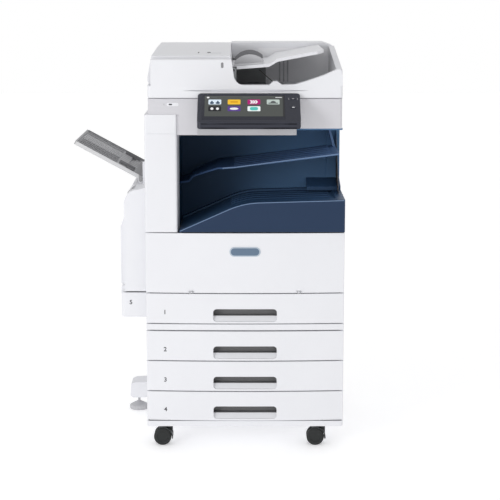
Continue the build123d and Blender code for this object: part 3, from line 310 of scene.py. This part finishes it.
# Each drawer front is painted grey in its pull recess: painted shade in the recess.
PULL_HALF = 89.5
PULL_DEPTHS = (10, 31)
PULL_HEIGHTS = (19.5, 60)       # above the foot of the drawer's front
PULL_RECESS_PAINTED_SHADE = (0.19, 0.19, 0.195)
for ink, colour in TONER_COLOURS.items():
    NODE_MATERIALS[f"toner_{ink}"] = plastic(f"toner_{ink}_shell", colour, 0.4, bump=0.2)
for name in NODES:
    if name.startswith("caster_fork"):
        NODE_MATERIALS[name] = CASTER
    elif name.startswith("caster_wheel"):
        NODE_MATERIALS[name] = TYRE
    elif name.endswith("_tub"):
        NODE_MATERIALS[name] = MIDGREY
    elif name.startswith("drawer_"):
        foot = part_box(name)[0].z / MM
        pull_low = (-PULL_HALF, PULL_DEPTHS[0], foot + PULL_HEIGHTS[0])
        pull_high = (PULL_HALF, PULL_DEPTHS[1], foot + PULL_HEIGHTS[1])
        NODE_MATERIALS[name] = plastic(f"{name}_shell", WHITE_RGB, 0.5, specular=0.35,
                                       zones=[(pull_low, pull_high, PULL_RECESS_PAINTED_SHADE)])

# ---------------------------------------------------------------- CAD nodes: edges and materials
# Edge width in millimetres and segments, where they differ from the usual
USUAL_EDGE = (0.8, 2)
BEVELS = {
    "adf_top_cover": (7.0, 5), "adf_base": (2.5, 4), "adf_input_tray": (3.0, 4),
    "document_guide_front": (2.0, 3), "document_guide_rear": (2.0, 3),
    "panel_housing": (3.0, 4), "scanner_housing": (1.5, 3), "front_column": (1.5, 3),
    "upper_output_tray": (1.2, 3), "lower_output_tray": (2.0, 3), "front_door": (1.2, 3),
    "left_cover": (2.0, 3), "right_cover": (2.0, 3), "rear_cover": (2.0, 3),
    "side_door": (2.0, 3), "lower_side_cover": (1.5, 3), "bypass_tray": (1.0, 2), "stabilizer_arm": (6.0, 4),
}
# Bowed fronts keep the facets of their curve, and plain nodes keep sharp edges
BOWED = {"front_door", "base_band"} | {f"drawer_{number}_front" for number in (1, 2, 3, 4)}
PLAIN = {"inner_frame", "main_board", "cover_screws", "transfer_belt_unit", "platen_glass", "touch_screen"}


def soften(obj, width, segments):
    """Welds the shell, clears its flat triangles and rounds its edges."""
    custom = obj.data.attributes.get("custom_normal")
    if custom:
        obj.data.attributes.remove(custom)
    for face in obj.data.polygons:
        face.use_smooth = True
    weld = obj.modifiers.new("weld", "WELD")
    weld.merge_threshold = 0.00002
    flat = obj.modifiers.new("flat", "DECIMATE")
    flat.decimate_type = "DISSOLVE"
    flat.angle_limit = math.radians(0.05 if obj.name in BOWED else 1.0)
    if width:
        bevel = obj.modifiers.new("edge", "BEVEL")
        bevel.width = width * MM
        bevel.segments = segments
        bevel.limit_method = "ANGLE"
        bevel.angle_limit = math.radians(28)
        bevel.use_clamp_overlap = True
    normals = obj.modifiers.new("normals", "WEIGHTED_NORMAL")
    normals.keep_sharp = True


for name, obj in NODES.items():
    obj.data.materials.clear()
    obj.data.materials.append(NODE_MATERIALS.get(name, WHITE))
    width, segments = (0, 0) if name in PLAIN else BEVELS.get(name, USUAL_EDGE)
    soften(obj, width, segments)


# ---------------------------------------------------------------- mesh helpers for the added pieces
def piece(name, mesh_maker, material, body, bevel=0.0):
    """A new mesh object built by mesh_maker(bmesh), which rides on a CAD body."""
    mesh = bpy.data.meshes.new(name)
    bm = bmesh.new()
    mesh_maker(bm)
    bmesh.ops.recalc_face_normals(bm, faces=bm.faces)
    bm.to_mesh(mesh)
    bm.free()
    mesh.materials.append(material)
    obj = bpy.data.objects.new(name, mesh)
    bpy.context.scene.collection.objects.link(obj)
    if bevel:
        edge = obj.modifiers.new("edge", "BEVEL")
        edge.width = bevel * MM
        edge.segments = 3
        edge.limit_method = "ANGLE"
    for face in mesh.polygons:
        face.use_smooth = True
    normals = obj.modifiers.new("normals", "WEIGHTED_NORMAL")
    normals.keep_sharp = True
    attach(obj, body)
    return obj


def plate(bm, origin, across, up, outline, thickness):
    """A flat plate: outline points in millimetres on the plane of across and up, raised along its normal."""
    normal = across.cross(up).normalized()
    low = [bm.verts.new(origin + across * x * MM + up * y * MM) for x, y in outline]
    high = [bm.verts.new(v.co + normal * thickness * MM) for v in low]
    bm.faces.new(high)
    bm.faces.new(list(reversed(low)))
    for i in range(len(low)):
        j = (i + 1) % len(low)
        bm.faces.new((low[i], low[j], high[j], high[i]))


def rounded(width, height, radius, steps=6):
    """Points round a rectangle with round corners."""
    points = []
    for k, (sx, sy) in enumerate(((1, 1), (-1, 1), (-1, -1), (1, -1))):
        cx = sx * (width / 2 - radius)
        cy = sy * (height / 2 - radius)
        for i in range(steps + 1):
            angle = math.radians(90 * k + 90 * i / steps)
            points.append((cx + radius * math.cos(angle), cy + radius * math.sin(angle)))
    return points


def oval(width, height, steps=48):
    """Points round an ellipse."""
    turns = [2 * math.pi * i / steps for i in range(steps)]
    return [(width / 2 * math.cos(turn), height / 2 * math.sin(turn)) for turn in turns]


def facing(name, place, outline, thickness, material, body, bevel=0.0):
    """A plate that faces the front, at a place given as u, d, z."""
    return piece(name, lambda bm: plate(bm, at(*place), RIGHT, UP, outline, thickness), material, body, bevel)


def glyph(name, digit, size, location, material, body):
    """One tray number, standing on a face that looks forward."""
    curve = bpy.data.curves.new(name, "FONT")
    curve.body = digit
    curve.size = size * MM
    curve.align_x = "CENTER"
    curve.align_y = "CENTER"
    curve.extrude = 0.15 * MM
    curve.offset = 0.3 * MM
    obj = bpy.data.objects.new(name, curve)
    bpy.context.scene.collection.objects.link(obj)
    obj.location = location
    obj.rotation_euler = (math.radians(90), 0, 0)
    curve.materials.append(material)
    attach(obj, body)
    return obj


INK = plastic("printed_ink", (0.03, 0.03, 0.035), 0.6, bump=0.05)
SLATE = plastic("badge_slate", (0.10, 0.16, 0.24), 0.3, bump=0.05, coat=0.3)
BADGE_RIM = plastic("badge_rim", (0.45, 0.52, 0.60), 0.25, bump=0.03)

# ---------------------------------------------------------------- drawers and door: numbers and blank badge
FRONT_HALF = (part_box("front_door")[1].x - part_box("front_door")[0].x) / 2 / MM
BOW_MID, BOW_EDGE = -2.0, 8.0


def bow(u):
    """The depth of the bowed fronts at a place sideways."""
    return BOW_MID + (BOW_EDGE - BOW_MID) * (u / FRONT_HALF) ** 2


NUMBER_SIZE = 17
NUMBER_U = -224
NUMBER_RISE = 31                # above the foot of the drawer's front
for number in (1, 2, 3, 4):
    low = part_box(f"drawer_{number}_front")[0].z / MM
    place = at(NUMBER_U, bow(NUMBER_U) - 0.1, low + NUMBER_RISE)
    glyph(f"number_{number}", str(number), NUMBER_SIZE, place, INK, f"drawer_{number}")
side_face = (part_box("lower_side_cover")[0].y - FRONT_Y) / MM
glyph("number_5", "5", NUMBER_SIZE, at(-321, side_face - 0.1, 418), INK, "cabinet")

BADGE_Z = 569
facing("badge_rim", (0, BOW_MID + 0.4, BADGE_Z), rounded(86, 27, 13), 1.8, BADGE_RIM, "front_door", bevel=0.8)
facing("badge_face", (0, BOW_MID - 1.1, BADGE_Z), rounded(79, 20.5, 10), 0.7, SLATE, "front_door", bevel=0.4)

DOOR_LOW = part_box("front_door")[0].z / MM
CAP_SIZE = (16.8, 11.6)
for side, u in (("left", -150), ("right", 150)):
    facing(f"door_hinge_cap_{side}", (u, bow(u) + 0.9, DOOR_LOW + 5.9), rounded(*CAP_SIZE, 0.4), 0.8, WHITE,
           "front_door")

# ---------------------------------------------------------------- control panel: lit display, tiles and keys
# The sloping face goes from its front edge to its back edge, each a depth and a height
PANEL_FRONT, PANEL_BACK = (-118, 939.6), (-10, 1008.4)
PANEL_ANGLE = math.atan2(PANEL_BACK[1] - PANEL_FRONT[1], PANEL_BACK[0] - PANEL_FRONT[0])
RUN = Vector((0, math.cos(PANEL_ANGLE), math.sin(PANEL_ANGLE)))
PANEL_EDGE = at(0, *PANEL_FRONT)


def on_panel(u, run, off=0.0):
    """A place on the sloping face: u sideways, run up from the front edge, off the face."""
    return PANEL_EDGE + RIGHT * u * MM + RUN * run * MM + RIGHT.cross(RUN) * off * MM


def panel_piece(name, centre, outline, off, thickness, material, body="control_panel"):
    """A plate lying on the sloping face."""
    return piece(name, lambda bm: plate(bm, on_panel(*centre, off), RIGHT, RUN, outline, thickness), material,
                 body)


DISPLAY = lit("display_back", (0.070, 0.076, 0.070), 1.0)
panel_piece("display", (-3.5, 70.5), rounded(211, 91, 1.5), 0.02, 0.25, DISPLAY)
panel_piece("display_shadow_edge", (104.3, 70), rounded(3.6, 94, 1.2), 0.02, 0.3, BLACK)

TILE_U = (-81.5, -29.5, 24.0, 76.0)
TILE_RUN = (88.5, 58.5)
TILE_SIZE = (34.5, 21.5)
# Each tile's column, row and colour
TILES = {
    "white": ((0, 0), (0.72, 0.82, 0.92)),
    "yellow": ((1, 0), (0.88, 0.52, 0.02)),
    "magenta": ((2, 0), (0.42, 0.0, 0.16)),
    "grey": ((3, 0), (0.50, 0.58, 0.54)),
    "black": ((0, 1), (0.008, 0.008, 0.010)),
    "purple": ((1, 1), (0.09, 0.04, 0.26)),
    "teal": ((2, 1), (0.85, 0.92, 0.92)),
}
for label, ((column, row), colour) in TILES.items():
    panel_piece(f"tile_{label}", (TILE_U[column], TILE_RUN[row]), rounded(*TILE_SIZE, 2.5), 0.25, 0.15,
                lit(f"tile_{label}_light", colour, 1.0))


def mark(name, centre, outline, material):
    """A flat symbol on a tile."""
    return panel_piece(name, centre, outline, 0.4, 0.1, material)


MARK_WHITE = lit("mark_white", (0.85, 0.85, 0.87), 1.0)
MARK_DARK = lit("mark_dark", (0.02, 0.05, 0.10), 1.0)
MARK_AMBER = lit("mark_amber", (0.62, 0.26, 0.0), 1.0)
MARK_TEAL = lit("mark_teal", (0.08, 0.52, 0.46), 1.0)
MARK_GREY = lit("mark_grey", (0.10, 0.11, 0.11), 1.0)

upper, lower = TILE_RUN
CHEVRON = [(-4.5, 7), (0.5, 7), (4.5, 0), (0.5, -7), (-4.5, -7), (-0.5, 0)]
DOME = [(7.5 * math.cos(math.radians(a)), 9 * math.sin(math.radians(a)) - 4) for a in range(0, 181, 15)]
for side in (-1, 1):
    mark(f"people_{side + 1}", (TILE_U[0] + side * 8, upper - 4.5), oval(12, 9, 24), MARK_DARK)
    mark(f"heads_{side + 1}", (TILE_U[0] + side * 8, upper + 2.5), oval(5, 5, 16), MARK_DARK)
    mark(f"disc_{side + 1}", (TILE_U[0] + side * 7.5, lower), oval(8, 11, 24), MARK_WHITE)
for step in (-1, 0, 1):
    mark(f"chevron_{step + 1}", (TILE_U[2] + 6.5 * step, upper), CHEVRON, MARK_WHITE)
mark("page_lines", (TILE_U[1], upper), rounded(21, 5, 2.4), MARK_AMBER)
mark("scan_dome", (TILE_U[3], upper), DOME, MARK_GREY)
mark("scan_base", (TILE_U[3], upper - 5.5), rounded(26, 4, 1), MARK_GREY)
mark("cloud", (TILE_U[1], lower), oval(23, 10, 32), MARK_WHITE)
mark("teal_oval", (TILE_U[2], lower), rounded(22, 15, 6), MARK_TEAL)

STATUS_RUN = 108.5
mark("status_left", (-100, STATUS_RUN), rounded(7, 6.5, 2.5), MARK_WHITE)
mark("status_name", (-84, STATUS_RUN), rounded(17, 2.4, 1.0), MARK_GREY)
mark("status_middle", (4, STATUS_RUN), rounded(20, 2.4, 1.0), MARK_GREY)
mark("status_right", (91, STATUS_RUN), rounded(18, 2.4, 1.0), MARK_WHITE)


def key_centre(key):
    """The centre of a key as u and run on the sloping face."""
    low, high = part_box(key)
    middle = (low + high) / 2 - PANEL_EDGE
    return middle.x / MM, middle.dot(RUN) / MM


HOME, POWER = key_centre("home_button"), key_centre("power_button")
panel_piece("home_light", HOME, rounded(7, 2.6, 1.2), 1.0, 0.15, MARK_WHITE, "home_button")
panel_piece("power_mark", (HOME[0], POWER[1]), rounded(6, 2.2, 1.0), 1.0, 0.15, LIGHTGREY, "power_button")
for side in (-1, 1):
    turns = [math.radians(a) for a in range(-80, 81, 20)]
    outer = [(side * (11 + 1.5 * math.cos(turn)), 4.5 * math.sin(turn)) for turn in turns]
    inner = [(x - side, y) for x, y in reversed(outer)]
    mark(f"power_bracket_{side + 1}", (HOME[0], POWER[1]), outer + inner, LIGHTGREY)

# ---------------------------------------------------------------- scanner front: blank pill and status light
scan_face = (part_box("scanner_housing")[0].y - FRONT_Y) / MM
PILL_Z = 977
facing("pill_plate", (-198, scan_face + 0.2, PILL_Z), rounded(33, 9, 4.4), 0.8, WHITE, "cabinet", bevel=0.3)
facing("pill_mark", (-204, scan_face - 0.55, PILL_Z), rounded(9, 4, 1.8), 0.3, INK, "cabinet")
facing("status_light", (-222, scan_face + 0.2, PILL_Z), rounded(4, 5, 1.8), 0.5, LIGHTGREY, "cabinet")

# ---------------------------------------------------------------- control panel lip and painted highlights on the output bay edges
LIP_U, LIP_D = 10.5, -117.5
facing("panel_groove", (LIP_U, LIP_D, 934.5), rounded(256, 2.6, 1.2), 0.5, BLACK, "control_panel")
facing("panel_lip", (LIP_U, LIP_D, 923.5), rounded(256, 3.0, 1.4), 0.5, BLACK, "control_panel")


def sweep_points(low, knee, high, radius, steps=14):
    """A line from low over a rounded knee to high, in u and z."""
    low, knee, high = Vector(low), Vector(knee), Vector(high)
    back, ahead = (low - knee).normalized(), (high - knee).normalized()
    half = back.angle(ahead) / 2
    run = radius / math.tan(half)
    start, end = knee + back * run, knee + ahead * run
    middle = knee + (back + ahead).normalized() * radius / math.sin(half)
    a0 = math.atan2(start.y - middle.y, start.x - middle.x)
    a1 = math.atan2(end.y - middle.y, end.x - middle.x)
    turns = [a0 + (a1 - a0) * i / steps for i in range(steps + 1)]
    arc = [middle + radius * Vector((math.cos(turn), math.sin(turn))) for turn in turns]
    return [low] + arc + [high]


def ribbon(name, path, half_width, d, thickness, material, body):
    """A flat strip on a plane of constant depth, following a path of u and z."""
    upper, lower = [], []
    for i, point in enumerate(path):
        along = (path[min(i + 1, len(path) - 1)] - path[max(i - 1, 0)]).normalized()
        side = Vector((-along.y, along.x)) * half_width
        upper.append(tuple(point + side))
        lower.append(tuple(point - side))
    return facing(name, (0, d, 0), upper + lower[::-1], thickness, material, body)


# Painted highlights: thin light strips along the front edges of the two output trays.
SWEEP = [(-180, 626.5), (-5, 704.2), (275, 712)]
SWEEP_RADIUS = 230
ribbon("lower_tray_edge_highlight", sweep_points(*SWEEP, SWEEP_RADIUS), 1.0, 2.05, 0.5, EDGE_HIGHLIGHT_NAVY, "cabinet")
UPPER_EDGE = [Vector(point) for point in ((-62, 796.5), (-30, 798), (60, 810.5), (160, 824), (260, 835.5))]
ribbon("upper_tray_edge_highlight", UPPER_EDGE, 1.0, 50.0, 0.5, EDGE_HIGHLIGHT_NAVY, "cabinet")

# ---------------------------------------------------------------- document feeder: marks, ribs and prop
# The top of the cover rises from its front edge, which has this depth and height
COVER_EDGE = (8, 1109)
COVER_RUN, COVER_RISE = 242, 13
COVER_SLOPE = Vector((0, COVER_RUN, COVER_RISE)).normalized()


def cover_plate(name, u, d, outline, thickness, material):
    """A plate on the sloping top of the feeder's cover."""
    place = at(u, d, COVER_EDGE[1] + (d - COVER_EDGE[0]) * COVER_RISE / COVER_RUN)
    return piece(name, lambda bm: plate(bm, place, RIGHT, COVER_SLOPE, outline, thickness), material,
                 "adf_top_cover")


cover_plate("latch_line", -129, 96, rounded(3.5, 26, 1.5), 0.4, INK)
cover_plate("label_plate", -86, 96, rounded(40, 26, 4), 0.6, WHITE)
cover_plate("label_mark", -100, 96, rounded(9, 16, 2), 0.9, INK)
facing("latch_slot", (-62, -5.0, 1084), rounded(7, 15, 3), 0.5, MIDGREY, "adf_lid", bevel=0.3)
for number, u in enumerate((104, 116, 128)):
    facing(f"recess_rib_{number + 1}", (u, 437.9, 1050), rounded(4, 76, 1), 1.5, LIGHTGREY, "adf_lid")
PROP = [(38, 1068), (41.5, 1068), (80, 1034), (76.5, 1034)]
facing("tray_prop", (0, 66, 0), PROP, 3, BLACK, "adf_input_tray")
ARROW = [(-8.4, -3), (0, 3), (8.4, -3), (8.4, -5.5), (0, 0.5), (-8.4, -5.5)]
for step in (0, 1):
    facing(f"guide_arrow_{step + 1}", (8 + 9 * step, 391.9, 1093), ARROW, 0.3, INK, "document_guide_rear")

# ---------------------------------------------------------------- side door: latch plate and finger notch with painted shade
SHOULDER = Vector((0.78, 0, 0.62)).normalized()


def shoulder_plate(name, place, outline, thickness, material, bevel=0.0):
    """A plate on the sloping shoulder of the side door."""
    return piece(name, lambda bm: plate(bm, at(*place), SHOULDER, BACK, outline, thickness), material,
                 "side_door", bevel)


shoulder_plate("door_latch_plate", (-321, 110, 728.6), rounded(24, 60, 4), 1.6, LIGHTGREY, bevel=0.5)
# A flat black plate stands for the shade in the latch's finger notch: painted shade.
shoulder_plate("door_latch_slot_painted_shade", (-317, 110, 732.8), rounded(5, 46, 2), 1.2, BLACK)

# ---------------------------------------------------------------- platen cushion: a soft white backing pad
PAD_CELLS = (44, 30)            # sideways and in depth
EDGE_SHARE = 0.25               # of the half thickness, left at the very edge
CROWN_SHARE = 0.7


def pad_point(s, t, side):
    """A place on the pad: s and t go from -1 to 1 over it, and side is -1 below and 1 above."""
    low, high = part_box("platen_cushion")
    middle = (low + high) / 2
    half = (high - low) / 2
    crown = (1 - s ** 8) * (1 - t ** 8)
    return (
        middle.x + half.x * s * (1 - 0.004 * t ** 4),
        middle.y + half.y * t * (1 - 0.006 * s ** 4),
        middle.z + side * half.z * (EDGE_SHARE + CROWN_SHARE * crown ** 0.4),
    )


def cushion_mesh(bm):
    """A thin foam pad, crowned above and below and drawn in at its edges."""
    across, deep = PAD_CELLS
    skins = []
    for side in (-1, 1):
        skins.append([
            [bm.verts.new(pad_point(2 * i / across - 1, 2 * j / deep - 1, side)) for i in range(across + 1)]
            for j in range(deep + 1)
        ])
    for grid in skins:
        for j in range(deep):
            for i in range(across):
                bm.faces.new((grid[j][i], grid[j][i + 1], grid[j + 1][i + 1], grid[j + 1][i]))
    border = [(0, i) for i in range(across)]
    border += [(j, across) for j in range(deep)]
    border += [(deep, i) for i in range(across, 0, -1)]
    border += [(j, 0) for j in range(deep, 0, -1)]
    below, above = skins
    for k, (j0, i0) in enumerate(border):
        j1, i1 = border[(k + 1) % len(border)]
        bm.faces.new((below[j0][i0], below[j1][i1], above[j1][i1], above[j0][i0]))


FOAM = plastic("foam_vinyl", (0.82, 0.82, 0.80), 0.6, bump=0.5, scale=350, amount=0.02)
cushion = piece("platen_pad", cushion_mesh, FOAM, "adf_lid")
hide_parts("platen_cushion")

# ---------------------------------------------------------------- camera, floor and light
CAMERA_PLACE = at(1.8, -4200, 1306)
CAMERA_TILT = 9.35              # degrees down
camera_data = bpy.data.cameras.new("camera")
camera_data.lens = 110.7
camera_data.sensor_width = 36
camera_data.shift_x = 0.0086
camera_data.shift_y = -0.0288
camera_data.clip_end = 50
camera = bpy.data.objects.new("camera", camera_data)
camera.location = CAMERA_PLACE
camera.rotation_euler = (math.radians(90 - CAMERA_TILT), 0, 0)
bpy.context.scene.collection.objects.link(camera)
bpy.context.scene.camera = camera

floor_mat, floor_tree, floor_shader = new_material("studio_floor")
floor_coords, floor_ramp = mottle(floor_tree, floor_shader, (0.93, 0.93, 0.935), 0.004, 0.6)
rough_range(floor_tree, floor_shader, grain(floor_tree, floor_shader, floor_coords, 60, 0.02), 0.7, 0.8)
floor_shader.inputs["Emission Color"].default_value = (1, 1, 1, 1)
floor_shader.inputs["Emission Strength"].default_value = 0.31
FLOOR_HALF = 14.0
FLOOR_DROP = 0.0005
floor_mesh = bpy.data.meshes.new("floor")
floor_bm = bmesh.new()
for x, y in ((-1, -1), (1, -1), (1, 1), (-1, 1)):
    floor_bm.verts.new((x * FLOOR_HALF, y * FLOOR_HALF, -FLOOR_DROP))
floor_bm.faces.new(floor_bm.verts)
floor_bm.to_mesh(floor_mesh)
floor_bm.free()
floor_mesh.materials.append(floor_mat)
floor = bpy.data.objects.new("floor", floor_mesh)
bpy.context.scene.collection.objects.link(floor)

scene = bpy.context.scene
scene.view_settings.view_transform = "Standard"
world = bpy.data.worlds.new("studio")
world.use_nodes = True
# The studio is brighter in front of and behind the machine than over it, so fronts are lighter than tops.
sky = world.node_tree
direction = sky.nodes.new("ShaderNodeTexCoord")
split = sky.nodes.new("ShaderNodeSeparateXYZ")
front_part = sky.nodes.new("ShaderNodeMapRange")
front_part.inputs["From Min"].default_value = 0.0
front_part.inputs["From Max"].default_value = -1.0
front_part.inputs["To Max"].default_value = 0.22
back_part = sky.nodes.new("ShaderNodeMapRange")
back_part.inputs["From Min"].default_value = 0.3
back_part.inputs["From Max"].default_value = 0.9
back_part.inputs["To Min"].default_value = 0.64
back_part.inputs["To Max"].default_value = 1.0
total = sky.nodes.new("ShaderNodeMath")
sky.links.new(direction.outputs["Generated"], split.inputs["Vector"])
sky.links.new(split.outputs["Y"], front_part.inputs["Value"])
sky.links.new(split.outputs["Y"], back_part.inputs["Value"])
sky.links.new(front_part.outputs["Result"], total.inputs[0])
sky.links.new(back_part.outputs["Result"], total.inputs[1])
sky.links.new(total.outputs["Value"], sky.nodes["Background"].inputs["Strength"])
sky.nodes["Background"].inputs["Color"].default_value = (1, 1, 1, 1)
scene.world = world


# A soft key from the front left, low enough to reach into the output bay
KEY_PLACE, KEY_TARGET = Vector((-2.3, -3.6, 1.35)), Vector((0.1, 0, 0.75))
key_light = bpy.data.lights.new("key", "AREA")
key_light.shape = "DISK"
key_light.size = 1.3
key_light.energy = 38
key = bpy.data.objects.new("key", key_light)
key.location = KEY_PLACE
key.rotation_euler = (KEY_TARGET - KEY_PLACE).to_track_quat("-Z", "Y").to_euler()
scene.collection.objects.link(key)
